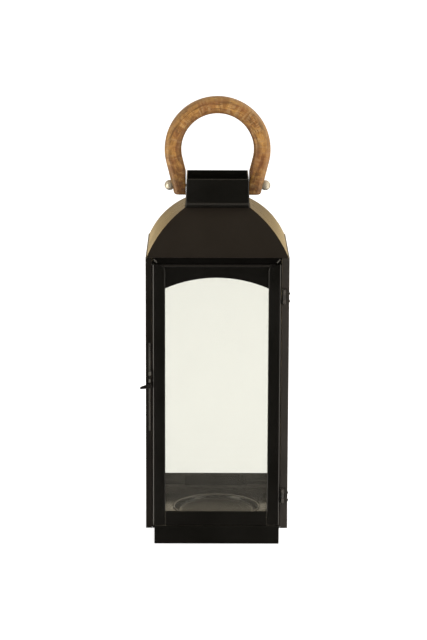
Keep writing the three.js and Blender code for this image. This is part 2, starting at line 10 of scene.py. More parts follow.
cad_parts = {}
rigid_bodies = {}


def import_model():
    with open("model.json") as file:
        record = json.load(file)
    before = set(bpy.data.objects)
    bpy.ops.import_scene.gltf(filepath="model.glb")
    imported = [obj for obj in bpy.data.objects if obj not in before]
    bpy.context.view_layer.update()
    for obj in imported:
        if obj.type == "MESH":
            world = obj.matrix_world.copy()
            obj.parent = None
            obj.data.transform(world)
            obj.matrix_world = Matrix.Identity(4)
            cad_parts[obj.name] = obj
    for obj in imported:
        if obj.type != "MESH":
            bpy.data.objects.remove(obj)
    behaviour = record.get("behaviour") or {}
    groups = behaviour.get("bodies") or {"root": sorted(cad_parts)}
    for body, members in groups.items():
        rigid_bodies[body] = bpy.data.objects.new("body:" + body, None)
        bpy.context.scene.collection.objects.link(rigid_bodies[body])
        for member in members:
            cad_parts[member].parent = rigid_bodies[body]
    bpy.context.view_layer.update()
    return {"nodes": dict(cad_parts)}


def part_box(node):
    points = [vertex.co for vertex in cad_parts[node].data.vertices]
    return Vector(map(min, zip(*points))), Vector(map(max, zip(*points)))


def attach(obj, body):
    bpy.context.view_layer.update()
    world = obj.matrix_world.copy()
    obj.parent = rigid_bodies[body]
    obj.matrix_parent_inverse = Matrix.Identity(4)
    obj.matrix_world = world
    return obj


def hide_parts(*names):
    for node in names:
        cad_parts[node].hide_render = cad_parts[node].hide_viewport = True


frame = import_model()
nodes = frame["nodes"]

MM = 0.001
SHEET = 1.0 * MM
GAP = 0.3 * MM
EDGE_RADIUS = 0.28 * MM
BEVEL_ANGLE = math.radians(30)
SMOOTH_ANGLE = math.radians(35)
WELD_REACH = 0.01 * MM

CAMERA_PLACE = (-0.016, -2.862, 0.852)
CAMERA_PITCH = 0.2063
CAMERA_TURN = -0.004154
CAMERA_ROLL = 0.003403
CAMERA_LENS = 139.11
SENSOR_WIDTH = 36


# ---------- node helpers ----------


def new_tree(name):
    material = bpy.data.materials.new(name)
    material.use_nodes = True
    return material, material.node_tree, material.node_tree.nodes["Principled BSDF"]


def put(tree, socket, value):
    """Links value into socket when it is another node's output, and sets it otherwise."""
    if isinstance(value, bpy.types.NodeSocket):
        tree.links.new(value, socket)
    else:
        socket.default_value = value


def node(tree, kind, inputs=None, **settings):
    made = tree.nodes.new(kind)
    for key, value in settings.items():
        setattr(made, key, value)
    for key, value in (inputs or {}).items():
        put(tree, made.inputs[key], value)
    return made


def math_node(tree, operation, a, b=0.0):
    return node(tree, "ShaderNodeMath", {0: a, 1: b}, operation=operation).outputs[0]


def spread(tree, value, from_low, from_high, to_low, to_high):
    """Rescales value from one range to another, and keeps it inside the second."""
    inputs = {"Value": value, "From Min": from_low, "From Max": from_high}
    inputs.update({"To Min": to_low, "To Max": to_high})
    return node(tree, "ShaderNodeMapRange", inputs).outputs["Result"]


def blend(tree, factor, a, b):
    """The colour a where factor is 0 and b where it is 1."""
    mix = node(tree, "ShaderNodeMix", data_type="RGBA")
    put(tree, mix.inputs[0], factor)
    put(tree, mix.inputs[6], a)
    put(tree, mix.inputs[7], b)
    return mix.outputs[2]


def stretched(tree, vector, scale):
    return node(tree, "ShaderNodeMapping", {"Vector": vector, "Scale": scale}).outputs[0]


def noise(tree, vector, scale, detail=3.0, roughness=0.5, distortion=0.0):
    inputs = {"Vector": vector, "Scale": scale, "Detail": detail, "Roughness": roughness}
    inputs["Distortion"] = distortion
    return node(tree, "ShaderNodeTexNoise", inputs).outputs[0]


def place(tree):
    return node(tree, "ShaderNodeTexCoord").outputs["Object"]


def bump(tree, height, distance, strength=1.0, below=None):
    inputs = {"Height": height, "Distance": distance, "Strength": strength}
    if below is not None:
        inputs["Normal"] = below
    return node(tree, "ShaderNodeBump", inputs).outputs[0]


def edges(tree, radius):
    """1 along sharp edges, where the rounded normal leans away from the true one, and 0 on flats."""
    rounded = node(tree, "ShaderNodeBevel", {"Radius": radius}, samples=4).outputs[0]
    true_normal = node(tree, "ShaderNodeNewGeometry").outputs["Normal"]
    product = node(tree, "ShaderNodeVectorMath", {0: rounded, 1: true_normal}, operation="DOT_PRODUCT")
    return spread(tree, product.outputs["Value"], 0.985, 0.8, 0.0, 1.0)


# ---------- materials ----------


WORN_PAINT = (0.03, 0.027, 0.023, 1)


def black_paint(name, dark, light, roughness, unevenness=1.0, streak=(1, 1, 1)):
    """Satin powder coat with a fine orange peel, uneven gloss, and paint rubbed thin along edges."""
    material, tree, shader = new_tree(name)
    where = place(tree)
    cloud = noise(tree, where, 18, 4)
    fleck = noise(tree, stretched(tree, where, streak), 420, 3)
    colour = blend(tree, spread(tree, cloud, 0.35, 0.65, 0, 1), dark, light)
    lightened = math_node(tree, "MULTIPLY", edges(tree, 0.6 * MM), spread(tree, fleck, 0.46, 0.66, 0.0, 0.7))
    put(tree, shader.inputs["Base Color"], blend(tree, lightened, colour, WORN_PAINT))
    fine = math_node(tree, "MULTIPLY", fleck, 0.6)
    coarse = math_node(tree, "MULTIPLY", cloud, 0.4)
    gloss = math_node(tree, "ADD", fine, coarse)
    uneven = spread(tree, gloss, 0.35, 0.65, roughness - 0.05, roughness + 0.06)
    put(tree, shader.inputs["Roughness"], uneven)
    wave = bump(tree, noise(tree, where, 14, 1), 0.12 * MM, 0.3 * unevenness)
    peel = bump(tree, noise(tree, where, 1500, 2), 0.02 * MM, 0.5 * unevenness, wave)
    put(tree, shader.inputs["Normal"], bump(tree, fleck, 0.015 * MM, 0.5 * unevenness, peel))
    return material


def dulled(material, shine):
    """Weakens a paint's mirror, which paints shade: a darker copy of the paint."""
    material.node_tree.nodes["Principled BSDF"].inputs["Specular IOR Level"].default_value = shine
    return material


HIGHLIGHT_FADE = 0.6 * MM


def paint_highlights(material, highlight_colour, bands):
    """Paints highlights on a paint in patches, fully between the heights of each band and less beyond
    it.
    """
    tree = material.node_tree
    colour = tree.nodes["Principled BSDF"].inputs["Base Color"]
    height = node(tree, "ShaderNodeSeparateXYZ", {0: place(tree)}).outputs["Z"]
    patches = spread(tree, noise(tree, place(tree), 700, 2), 0.3, 0.6, 0.4, 0.9)
    for low, high in bands:
        above = spread(tree, height, low - HIGHLIGHT_FADE, low, 0, 1)
        below = spread(tree, height, high, high + HIGHLIGHT_FADE, 1, 0)
        inside = math_node(tree, "MULTIPLY", above, below)
        lightened = math_node(tree, "MULTIPLY", inside, patches)
        put(tree, colour, blend(tree, lightened, colour.links[0].from_socket, highlight_colour))
    return material


DISH_FADE = 2 * MM
DISH_DULLNESS = 0.17


def ringed(material, highlight_colour, rings):
    """Paints highlight circles on a paint round the lantern's axis, each a (radius, half width).

    Inside the last circle, which is the dish's, the paint is also duller.
    """
    tree = material.node_tree
    colour = tree.nodes["Principled BSDF"].inputs["Base Color"]
    flat = stretched(tree, place(tree), (1, 1, 0))
    radius = node(tree, "ShaderNodeVectorMath", {0: flat}, operation="LENGTH").outputs["Value"]
    dish_edge = rings[-1][0]
    dish = spread(tree, radius, dish_edge - DISH_FADE, dish_edge, DISH_DULLNESS, 0)
    polish = tree.nodes["Principled BSDF"].inputs["Roughness"]
    put(tree, polish, math_node(tree, "ADD", polish.links[0].from_socket, dish))
    for middle, half_width in rings:
        away = math_node(tree, "ABSOLUTE", math_node(tree, "SUBTRACT", radius, middle))
        lightened = spread(tree, away, half_width * 0.5, half_width, 0.85, 0)
        put(tree, colour, blend(tree, lightened, colour.links[0].from_socket, highlight_colour))
    return material


def mango_wood():
    """Bent stock. The mesh's grain attribute says how far each point is along it, out, and through."""
    material, tree, shader = new_tree("mango_wood")
    grain = node(tree, "ShaderNodeAttribute", attribute_name="grain").outputs["Vector"]
    outward = node(tree, "ShaderNodeSeparateXYZ", {0: grain}).outputs["Y"]
    height = node(tree, "ShaderNodeSeparateXYZ", {0: place(tree)}).outputs["Z"]
    fibre = noise(tree, stretched(tree, grain, (70, 620, 620)), 1.0, 4, 0.6)
    bands = noise(tree, stretched(tree, grain, (34, 210, 210)), 1.0, 3, 0.55, 0.8)
    mottle = noise(tree, stretched(tree, grain, (95, 80, 80)), 1.0, 4, 0.62, 1.4)
    curl = noise(tree, stretched(tree, grain, (420, 70, 70)), 1.0, 3, 0.5, 0.6)
    pores = noise(tree, stretched(tree, grain, (150, 1900, 1900)), 1.0, 1, 0.4)
    base = (0.300, 0.124, 0.029, 1)
    gold = (0.545, 0.270, 0.060, 1)
    pale = (0.600, 0.375, 0.150, 1)
    dark = (0.095, 0.037, 0.008, 1)
    red = (0.290, 0.092, 0.026, 1)
    colour = blend(tree, spread(tree, mottle, 0.42, 0.62, 0, 1), base, gold)
    colour = blend(tree, spread(tree, curl, 0.52, 0.66, 0, 0.55), colour, pale)
    colour = blend(tree, spread(tree, bands, 0.5, 0.66, 0, 0.75), colour, dark)
    colour = blend(tree, spread(tree, noise(tree, grain, 60, 2), 0.52, 0.64, 0, 0.4), colour, red)
    colour = blend(tree, spread(tree, fibre, 0.5, 0.75, 0, 0.6), colour, dark)
    # Painted sheen: the stock is paler and greyer towards its outer side.
    painted_outer_sheen = spread(tree, outward, 3 * MM, 9 * MM, 0, 0.5)
    colour = blend(tree, painted_outer_sheen, colour, (0.37, 0.225, 0.095, 1))
    # Painted shade: the stock is darker towards its inner side.
    painted_inner_shade = spread(tree, outward, -3 * MM, -9.5 * MM, 0, 0.6)
    colour = blend(tree, painted_inner_shade, colour, dark)
    # Painted shade: the legs are darker, in patches, towards their feet beside the neck.
    foot = spread(tree, height, 0.44, 0.406, 0, 1)
    painted_foot_shade = math_node(tree, "MULTIPLY", foot, spread(tree, mottle, 0.35, 0.6, 0.85, 0.35))
    colour = blend(tree, painted_foot_shade, colour, dark)
    pore = spread(tree, pores, 0.63, 0.7, 0, 1)
    colour = blend(tree, math_node(tree, "MULTIPLY", pore, 0.6), colour, (0.05, 0.022, 0.009, 1))
    put(tree, shader.inputs["Base Color"], colour)
    put(tree, shader.inputs["Roughness"], spread(tree, fibre, 0.3, 0.75, 0.45, 0.65))
    shader.inputs["Coat Weight"].default_value = 0.1
    shader.inputs["Specular IOR Level"].default_value = 0.35
    shader.inputs["Coat Roughness"].default_value = 0.3
    ridges = bump(tree, fibre, 0.12 * MM, 0.7)
    dents = bump(tree, curl, 0.15 * MM, 0.5, ridges)
    put(tree, shader.inputs["Normal"], bump(tree, pore, -0.08 * MM, 0.8, dents))
    return material


def nickel(name, colour, tarnish, roughness):
    """Plated steel with small dull patches and fine turning marks."""
    material, tree, shader = new_tree(name)
    where = place(tree)
    patch = noise(tree, where, 240, 4, 0.6)
    scratch = noise(tree, stretched(tree, where, (6, 1, 1)), 900, 2)
    dull = spread(tree, patch, 0.45, 0.75, 0, 0.8)
    put(tree, shader.inputs["Base Color"], blend(tree, dull, colour, tarnish))
    uneven = spread(tree, patch, 0.3, 0.75, roughness - 0.06, roughness + 0.14)
    put(tree, shader.inputs["Roughness"], uneven)
    shader.inputs["Metallic"].default_value = 0.6
    put(tree, shader.inputs["Normal"], bump(tree, scratch, 0.02 * MM, 0.5))
    return material


GLASS_INDEX = 1.45
GLASS_TINT = (0.921, 0.924, 0.903, 1)
DUST = (0.62, 0.58, 0.5, 1)


def clear_glass():
    """Window glass. It lets light straight through, mirrors by Fresnel, and holds a trace of dust."""
    material, tree, shader = new_tree("clear_glass")
    tree.nodes.remove(shader)
    behind = node(tree, "ShaderNodeNewGeometry").outputs["Backfacing"]
    index = spread(tree, behind, 0, 1, GLASS_INDEX, 1 / GLASS_INDEX)
    reflected = node(tree, "ShaderNodeFresnel", {"IOR": index}).outputs[0]
    through = node(tree, "ShaderNodeBsdfTransparent", {"Color": GLASS_TINT}).outputs[0]
    where = place(tree)
    smear = noise(tree, stretched(tree, where, (3, 3, 1)), 22, 4)
    gloss = node(tree, "ShaderNodeBsdfGlossy", {"Color": (1, 1, 1, 1)})
    put(tree, gloss.inputs["Roughness"], spread(tree, smear, 0.4, 0.8, 0.01, 0.06))
    dust = node(tree, "ShaderNodeBsdfDiffuse", {"Color": DUST}).outputs[0]
    faces = {0: reflected, 1: through, 2: gloss.outputs[0]}
    clean = node(tree, "ShaderNodeMixShader", faces).outputs[0]
    haze = spread(tree, smear, 0.3, 0.9, 0.032, 0.04)
    whole = node(tree, "ShaderNodeMixShader", {0: haze, 1: clean, 2: dust}).outputs[0]
    put(tree, tree.nodes["Material Output"].inputs["Surface"], whole)
    return material


# Paints, each as its dark and its light shade
BLACK = ((0.002, 0.0018, 0.0013, 1), (0.0035, 0.0031, 0.0024, 1))
# Painted light: a browner copy of the black for the left post
LEFT_PAINTED_LIGHT_BLACK = ((0.006, 0.0045, 0.003, 1), (0.01, 0.008, 0.006, 1))
# Painted light: a much lighter black for the right post and its hinge leaf
POST_PAINTED_LIGHT_BLACK = ((0.024, 0.02, 0.0155, 1), (0.031, 0.0255, 0.0205, 1))
# Painted reflection: a lighter, browner black for the roof
ROOF_PAINTED_REFLECTION_BLACK = ((0.0100, 0.0072, 0.0052, 1), (0.0135, 0.0098, 0.0072, 1))
FLOOR_BLACK = ((0.010, 0.009, 0.0075, 1), (0.014, 0.0125, 0.0105, 1))
HARD_BLACK = ((0.006, 0.0055, 0.005, 1), (0.01, 0.009, 0.008, 1))
# Painted highlight: a lighter black for the latch strap
STRAP_PAINTED_HIGHLIGHT_BLACK = ((0.05, 0.045, 0.038, 1), (0.075, 0.068, 0.056, 1))
# Painted highlight: a much lighter black for the header seams
SEAM_PAINTED_HIGHLIGHT_BLACK = ((0.03, 0.0275, 0.023, 1), (0.1, 0.092, 0.078, 1))

# Colours of the painted highlights on each paint
NECK_HIGHLIGHT = (0.038, 0.035, 0.029, 1)
WELL_HIGHLIGHT = (0.22, 0.2, 0.17, 1)
RAIL_HIGHLIGHT = (0.11, 0.101, 0.088, 1)
LEVER_HIGHLIGHT = (0.16, 0.148, 0.124, 1)
LIP_HIGHLIGHT = (0.016, 0.0145, 0.0125, 1)

# Directions in which the roof's rolling marks are drawn out
ACROSS = (0.1, 1, 0.1)
ALONG = (1, 0.1, 0.1)

# Heights, and the bands and rings where each paint gets its painted highlights
NECK_BEND = 399.2 * MM
NECK_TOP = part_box("neck")[1].z
LEVER_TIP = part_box("latch_lever")[1].z
DOOR_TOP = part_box("door_arched_panel")[1].z
NECK_HIGHLIGHT_BANDS = [(NECK_BEND - 2.6 * MM, NECK_BEND - 0.8 * MM), (NECK_TOP - 0.4 * MM, NECK_TOP)]
RAIL_HIGHLIGHT_BANDS = [(25 * MM, 28.6 * MM), (34 * MM, 34.4 * MM)]
LEVER_HIGHLIGHT_BANDS = [
    (LEVER_TIP - 13 * MM, LEVER_TIP - 10 * MM),
    (LEVER_TIP - 5 * MM, LEVER_TIP - 1 * MM),
]
LIP_HIGHLIGHT_BANDS = [(DOOR_TOP - 2.4 * MM, DOOR_TOP)]
WELL_HIGHLIGHT_RINGS = [(50.6 * MM, 1.2 * MM), (43.6 * MM, 1.6 * MM)]

PAINT = black_paint("satin_black", *BLACK, 0.36)
# Painted shade: the header and the pane's lower clip get a copy of the black paint with a weak mirror,
# to darken them.
RECESS_PAINTED_SHADE = dulled(black_paint("satin_black_recess_painted_shade", *BLACK, 0.4), 0.1)
# Painted shade and highlight: the arched panel's paint has a weakened mirror to darken it, and a painted
# highlight along the door's top lip.
PANEL_PAINTED_SHADE_AND_HIGHLIGHT = dulled(black_paint("satin_black_panel_painted_shade_and_highlight", *BLACK, 0.38), 0.32)
paint_highlights(PANEL_PAINTED_SHADE_AND_HIGHLIGHT, LIP_HIGHLIGHT, LIP_HIGHLIGHT_BANDS)
# Painted light: the left post gets its own copy of the black paint, browner and with a weak mirror, for
# how light falls on it.
LEFT_POST_PAINTED_LIGHT = dulled(black_paint("satin_black_left_painted_light", *LEFT_PAINTED_LIGHT_BLACK, 0.5), 0.15)
# Painted highlights: light bands under the neck's bead and along its top lip.
NECK_PAINTED_HIGHLIGHT = paint_highlights(black_paint("satin_black_neck_painted_highlight", *BLACK, 0.36), NECK_HIGHLIGHT, NECK_HIGHLIGHT_BANDS)
# Painted light: the right post and hinge post leaf are painted lighter to show the light falling on
# them.
POST_PAINTED_LIGHT = black_paint("satin_black_post_painted_light", *POST_PAINTED_LIGHT_BLACK, 0.42)
# Painted reflection: the roof panels use a lighter, browner copy of the black for the warm reflection
# they show.
ROOF_SIDE = black_paint("satin_black_side", *ROOF_PAINTED_REFLECTION_BLACK, 0.3, 0.7, ACROSS)
ROOF_FRONT = black_paint("satin_black_front", *ROOF_PAINTED_REFLECTION_BLACK, 0.38, 0.7, ALONG)
# Painted highlights: light circles along the well's rim and its inner groove.
FLOOR_PAINTED_HIGHLIGHT = ringed(black_paint("floor_black_painted_highlight", *FLOOR_BLACK, 0.19, 0.15), WELL_HIGHLIGHT, WELL_HIGHLIGHT_RINGS)
# Painted highlights: two light horizontal lines on the back bottom rail.
RAIL_PAINTED_HIGHLIGHT = paint_highlights(black_paint("rail_black_painted_highlight", *BLACK, 0.36), RAIL_HIGHLIGHT, RAIL_HIGHLIGHT_BANDS)
HARDWARE = black_paint("hardware_black", *HARD_BLACK, 0.3)
# Painted highlight: the latch strap is painted lighter to show the light along it.
STRAP_PAINTED_HIGHLIGHT = black_paint("strap_painted_highlight", *STRAP_PAINTED_HIGHLIGHT_BLACK, 0.3)
# Painted highlight: the header seams are painted light to show the light they catch.
SEAM_PAINTED_HIGHLIGHT = black_paint("seam_painted_highlight", *SEAM_PAINTED_HIGHLIGHT_BLACK, 0.25)
# Painted highlights: two light spots on the latch lever near its tip.
LEVER_PAINTED_HIGHLIGHT = paint_highlights(black_paint("lever_black_painted_highlight", *HARD_BLACK, 0.3), LEVER_HIGHLIGHT, LEVER_HIGHLIGHT_BANDS)
WOOD = mango_wood()
NICKEL = nickel("antique_nickel", (0.68, 0.615, 0.485, 1), (0.38, 0.32, 0.235, 1), 0.46)
STEEL = nickel("zinc_steel", (0.5, 0.48, 0.43, 1), (0.26, 0.23, 0.19, 1), 0.36)
GLASS = clear_glass()


# ---------- mesh helpers ----------


def finish_piece(name, mesh, material, body, slot, *replaced):
    """Smooths a finished mesh, and puts it in the scene in place of CAD nodes."""
    mesh.polygons.foreach_set("use_smooth", [True] * len(mesh.polygons))
    mesh.set_sharp_from_angle(angle=SMOOTH_ANGLE)
    mesh.materials.append(material)
    piece = bpy.data.objects.new(name, mesh)
    bpy.context.scene.collection.objects.link(piece)
    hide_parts(*replaced)
    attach(piece, body)
    return piece


def loft(name, rings, closed=False):
    """A skin through rings of points. The two ends are joined when closed, and capped otherwise."""
    work = bmesh.new()
    loops = [[work.verts.new(point) for point in ring] for ring in rings]
    pairs = list(zip(loops, loops[1:]))
    if closed:
        pairs.append((loops[-1], loops[0]))
    else:
        work.faces.new(loops[0])
        work.faces.new(loops[-1])
    for one, two in pairs:
        for i, start in enumerate(one):
            j = (i + 1) % len(one)
            work.faces.new((start, one[j], two[j], two[i]))
    bmesh.ops.remove_doubles(work, verts=work.verts, dist=1e-7)
    bmesh.ops.recalc_face_normals(work, faces=work.faces)
    mesh = bpy.data.meshes.new(name)
    work.to_mesh(mesh)
    work.free()
    return mesh


def turned(name, profile, centre, steps=64):
    """A closed profile of (x, radius) pairs, turned about the line through centre along X."""
    rings = []
    for i in range(steps):
        angle = 2 * math.pi * i / steps
        around = Vector((0, math.cos(angle), math.sin(angle)))
        rings.append([centre + Vector((x, 0, 0)) + radius * around for x, radius in profile])
    return loft(name, rings, closed=True)


def carve(mesh, cutters):
    """Cuts other meshes out of a mesh, and returns the new one."""
    scene = bpy.context.scene.collection.objects
    whole = bpy.data.objects.new("whole", mesh)
    scene.link(whole)
    tools = []
    for cutter in cutters:
        tool = bpy.data.objects.new("tool", cutter)
        scene.link(tool)
        tools.append(tool)
        step = whole.modifiers.new("cut", "BOOLEAN")
        step.object = tool
        step.operation = "DIFFERENCE"
        step.solver = "EXACT"
    shown = whole.evaluated_get(bpy.context.evaluated_depsgraph_get())
    result = bpy.data.meshes.new_from_object(shown)
    result.name = mesh.name
    for made in [whole, *tools]:
        bpy.data.objects.remove(made)
    return result


def arc_points(centre, radius, first, last, steps):
    """Points (x, y) along an arc between two angles in degrees."""
    points = []
    for i in range(steps + 1):
        angle = math.radians(first + (last - first) * i / steps)
        points.append((centre[0] + radius * math.cos(angle), centre[1] + radius * math.sin(angle)))
    return points


# ---------- carried-over sheet metal ----------


def dress(name, material):
    """Gives a CAD part its material, and rounds its edges, apart from the rail between the stiles."""
    part = nodes[name]
    part.data.materials.clear()
    part.data.materials.append(material)
    weld = part.modifiers.new("weld", "WELD")
    weld.merge_threshold = WELD_REACH
    if name == "door_bottom_rail":
        return
    bevel = part.modifiers.new("rounded", "BEVEL")
    bevel.width = EDGE_RADIUS
    bevel.segments = 2
    bevel.limit_method = "ANGLE"
    bevel.angle_limit = BEVEL_ANGLE


def material_for(name):
    if name.endswith("pane"):
        return GLASS
    if name == "front_right_post" or name.endswith("post_leaf"):
        return POST_PAINTED_LIGHT
    if name == "back_bottom_rail":
        return RAIL_PAINTED_HIGHLIGHT
    if name == "front_left_post":
        return LEFT_POST_PAINTED_LIGHT
    if name in ("front_header", "back_pane_lower_clip"):
        return RECESS_PAINTED_SHADE
    if name == "door_arched_panel":
        return PANEL_PAINTED_SHADE_AND_HIGHLIGHT
    if name == "latch_strap":
        return STRAP_PAINTED_HIGHLIGHT
    if name == "latch_lever":
        return LEVER_PAINTED_HIGHLIGHT
    if name.endswith(("bolt", "washer", "nut")):
        return NICKEL
    if "hinge" in name or "latch" in name:
        return HARDWARE
    return PAINT


for part_name in nodes:
    dress(part_name, material_for(part_name))


# ---------- roof ----------

ROOF_RADIUS = 110 * MM
RIDGE_HALF = 37.9 * MM
HIP_GAP = 0.2 * MM
ROOF_STEPS = 40


def roof_arc():
    """Pairs of outer and inner (distance from the axis, height) points, from the eave to the ridge."""
    low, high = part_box("front_roof_panel")
    eave = Vector((-low.y, low.z))
    ridge = Vector((RIDGE_HALF, high.z))
    chord = ridge - eave
    middle = (eave + ridge) / 2
    to_centre = math.sqrt(ROOF_RADIUS**2 - (chord.length / 2) ** 2)
    centre = middle + Vector((-chord.y, chord.x)).normalized() * to_centre
    inner_radius = ROOF_RADIUS - SHEET
    first = math.atan2(eave.y - centre.y, eave.x - centre.x)
    inner_first = math.asin((eave.y - centre.y) / inner_radius)
    last = math.atan2(ridge.y - centre.y, ridge.x - centre.x)
    pairs = []
    for i in range(ROOF_STEPS + 1):
        t = i / ROOF_STEPS
        outer = first + (last - first) * t
        inner = inner_first + (last - inner_first) * t
        outer_point = centre + ROOF_RADIUS * Vector((math.cos(outer), math.sin(outer)))
        inner_point = centre + inner_radius * Vector((math.cos(inner), math.sin(inner)))
        pairs.append((outer_point, inner_point))
    return pairs


def roof_panel(side, quarter_turns, material):
    """A sheet curved from eave to ridge, with each end cut to the mitre of the hip."""
    turn = Matrix.Rotation(quarter_turns * math.pi / 2, 3, "Z")
    rings = []
    for outer, inner in roof_arc():
        out = outer.x - HIP_GAP
        back = inner.x - HIP_GAP
        ring = [(-out, -outer.x, outer.y), (out, -outer.x, outer.y)]
        ring += [(back, -inner.x, inner.y), (-back, -inner.x, inner.y)]
        rings.append([turn @ Vector(point) for point in ring])
    mesh = loft(f"{side}_roof_sheet", rings)
    finish_piece(mesh.name, mesh, material, "lantern_body", "black_paint", f"{side}_roof_panel")


roof_panel("front", 0, ROOF_FRONT)
roof_panel("right", 1, ROOF_SIDE)
roof_panel("back", 2, ROOF_FRONT)
roof_panel("left", 3, ROOF_SIDE)


# ---------- floor and candle well ----------

WELL_RADIUS = 50 * MM
WELL_DEPTH = 4.2 * MM
WELL_RIM = 1.2 * MM
FLOOR_STEPS = 96


def cubic(a, b, c, d, steps):
    """Points on a Bezier curve, without its first."""
    curve = []
    for i in range(1, steps + 1):
        t = i / steps
        s = 1 - t
        curve.append(s**3 * a + 3 * s * s * t * b + 3 * s * t * t * c + t**3 * d)
    return curve


def well_profile(top):
    """(radius, height) points from the dish's middle, past a groove and a rolled rim, to the floor."""
    low = top - WELL_DEPTH
    high = top + WELL_RIM
    middle = low + 0.9 * MM
    shoulder = Vector((WELL_RADIUS - 6.6 * MM, middle))
    groove = Vector((WELL_RADIUS - 4.6 * MM, low))
    wall = Vector((WELL_RADIUS - 2.2 * MM, low))
    crest = Vector((WELL_RADIUS + 0.6 * MM, high))
    edge = Vector((WELL_RADIUS + 2.4 * MM, top))
    across = Vector((0.9 * MM, 0))
    dish = [Vector((0.5 * MM, middle)), Vector((WELL_RADIUS * 0.5, middle)), shoulder]
    dish += cubic(shoulder, shoulder + across, groove - across, groove, 8)
    dish += cubic(wall, wall + across * 1.5, crest - across * 1.8, crest, 12)
    return dish + cubic(crest, crest + across, edge - across, edge, 8)


FLOOR_BEND = 1.2 * MM


def floor_rings(top, half, rim_low):
    """(is round, reach, height) of each ring over the sheet, round its rim, and back under it."""
    profile = well_profile(top)
    rings = [(True, radius, height) for radius, height in profile]
    for i in range(5):
        angle = math.pi / 2 * i / 4
        reach = half - FLOOR_BEND + FLOOR_BEND * math.sin(angle)
        rings.append((False, reach, top - FLOOR_BEND + FLOOR_BEND * math.cos(angle)))
    rings.append((False, half, rim_low))
    rings.append((False, half - SHEET, rim_low))
    rings.append((False, half - SHEET, top - SHEET))
    return rings + [(True, radius, height - SHEET) for radius, height in reversed(profile)]


def floor_plate():
    """The dish is round, and the sheet outside it spreads to a square with a folded-down rim.

    The rim stands on the inward flanges of the bottom rails.
    """
    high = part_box("floor_plate")[1]
    rim_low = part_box("back_bottom_rail")[0].z + SHEET + GAP
    loops = []
    for is_round, reach, height in floor_rings(high.z - WELL_RIM, high.x, rim_low):
        loop = []
        for i in range(FLOOR_STEPS):
            angle = 2 * math.pi * i / FLOOR_STEPS
            flat = Vector((math.cos(angle), math.sin(angle)))
            scale = reach if is_round else reach / max(abs(flat.x), abs(flat.y))
            loop.append((flat.x * scale, flat.y * scale, height))
        loops.append(loop)
    mesh = loft("floor_with_well", loops)
    finish_piece(mesh.name, mesh, FLOOR_PAINTED_HIGHLIGHT, "lantern_body", "black_paint", "floor_plate")


floor_plate()


# ---------- header seams ----------

SEAM_RADIUS = 0.95 * MM
SEAM_SLANT = math.radians(38)
SEAM_LENGTH = 6.6 * MM
SEAM_INSET = 3.7 * MM
SEAM_DEPTH = 0.8 * MM
DOOR_CLEARANCE = 0.5 * MM
SEAM_STEPS = 12
SEAM_SIDES = 16


def header_seam(side, sign):
    """A short round weld that slants across one end of the header, in a light paint that paints its
    highlight.
    """
    low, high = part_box("front_header")
    bottom = DOOR_TOP + DOOR_CLEARANCE
    offset = sign * ((high.x - low.x) / 2 - SEAM_INSET)
    middle = Vector((offset + (high.x + low.x) / 2, low.y + SEAM_DEPTH, (bottom + high.z) / 2))
    along = Vector((sign * math.sin(SEAM_SLANT), 0, math.cos(SEAM_SLANT)))
    across = Vector((along.z, 0, -along.x))
    forward = Vector((0, 1, 0))
    rings = []
    for i in range(SEAM_STEPS + 1):
        t = 2 * i / SEAM_STEPS - 1
        radius = SEAM_RADIUS * math.sqrt(max(1 - t**6, 0.02))
        centre = middle + along * (t * SEAM_LENGTH / 2)
        ring = []
        for j in range(SEAM_SIDES):
            angle = 2 * math.pi * j / SEAM_SIDES
            ring.append(centre + radius * (math.cos(angle) * across + math.sin(angle) * forward))
        rings.append(ring)
    mesh = loft(f"{side}_header_seam", rings)
    finish_piece(mesh.name, mesh, SEAM_PAINTED_HIGHLIGHT, "lantern_body", "black_paint")


header_seam("left", -1)
header_seam("right", 1)


# ---------- door stiles ----------

FOLD = 2.2 * MM
SWEEP_WIDTH = 6 * MM
SWEEP_HEIGHT = 8 * MM
SWEEP_STEPS = 14
SQUARE_EDGE = 0.1 * MM
ROUND_EDGE = 0.8 * MM


def stile_section(width, front, back, soft):
    """(distance from the door's edge, y) points of a sheet, soft at the window, folded at the edge."""
    fold_centre = (FOLD, front + FOLD)
    points = arc_points((width - soft, front + soft), soft, -90, 0, 6)
    points.append((width, front + SHEET))
    points += arc_points(fold_centre, FOLD - SHEET, -90, -180, 6)
    points += [(SHEET, back), (0, back)]
    return points + arc_points(fold_centre, FOLD, -180, -90, 8)


def door_stile(side):
    """Square-edged beside the bottom rail, rounded along the window, and swept outward at the top."""
    low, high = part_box(f"door_{side}_stile")
    edge, window = (low.x, high.x) if side == "left" else (high.x, low.x)
    inward = math.copysign(1, window - edge)
    width = high.x - low.x
    rail_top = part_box("door_bottom_rail")[1].z
    start = Vector((width, high.z - SWEEP_HEIGHT))
    upright = Vector((width, high.z - SWEEP_HEIGHT / 2))
    leaning = Vector((width - SWEEP_WIDTH / 3, high.z - SWEEP_HEIGHT / 4))
    end = Vector((width - SWEEP_WIDTH, high.z))
    levels = [(width, low.z, SQUARE_EDGE), (width, rail_top - 0.5 * MM, SQUARE_EDGE)]
    levels += [(width, rail_top + 0.8 * MM, ROUND_EDGE), (start.x, start.y, ROUND_EDGE)]
    for point in cubic(start, upright, leaning, end, SWEEP_STEPS):
        levels.append((point.x, point.y, ROUND_EDGE))
    rings = []
    for reach, height, soft in levels:
        section = stile_section(reach, low.y, high.y, soft)
        rings.append([(edge + inward * inset, y, height) for inset, y in section])
    mesh = loft(f"door_{side}_folded_stile", rings)
    finish_piece(mesh.name, mesh, PAINT, "door", "black_paint", f"door_{side}_stile")


door_stile("left")
door_stile("right")


# ---------- the handle's pivot ----------

PIVOT_Z = sum(corner.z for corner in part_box("right_bolt")) / 2
CUTTER_STEPS = 48


